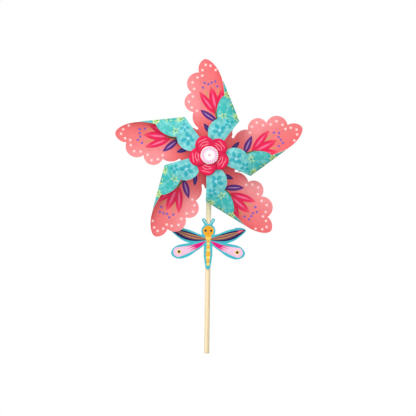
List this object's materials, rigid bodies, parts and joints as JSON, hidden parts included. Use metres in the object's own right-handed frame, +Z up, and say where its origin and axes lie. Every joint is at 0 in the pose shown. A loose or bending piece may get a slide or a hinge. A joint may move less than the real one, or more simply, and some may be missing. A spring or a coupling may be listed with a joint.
{
  "type": "whirligig",
  "caption": "Card pinwheel with curled blades and a flower hub, spinning on a pin through a round wooden stick that also carries a flat card dragonfly.",
  "frame": {"origin": "centre of the stick's lower end", "axes": "+Z up along the stick, the wheel in front on -Y and spinning about Y, +X to the right seen from the front"},
  "size_m": [0.2152, 0.0428, 0.3394],
  "materials": {
    "wood": "sanded, unvarnished",
    "printed_card": "satin print",
    "white_plastic": "moulded",
    "flower_plastic": "satin print",
    "label": "printed",
    "dragonfly_card": "satin print",
    "foam": "foam with adhesive"
  },
  "bodies": {
    "handle": {"stick": "wood", "axle_pin": "white_plastic", "head_label": "label", "spacer_tube": "white_plastic", "back_cap": "white_plastic", "dragonfly": "dragonfly_card", "upper_pad": "foam", "lower_pad": "foam"},
    "wheel": {"pinwheel_card": "printed_card", "hub_bush": "white_plastic", "hub_flower": "flower_plastic"}
  },
  "joints": [
    {"name": "wheel_spin", "type": "hinge", "parent": "handle", "child": "wheel", "pos_m": [0, -0.011, 0.228], "axis": [0, -1, 0], "continuous": true}
  ]
}
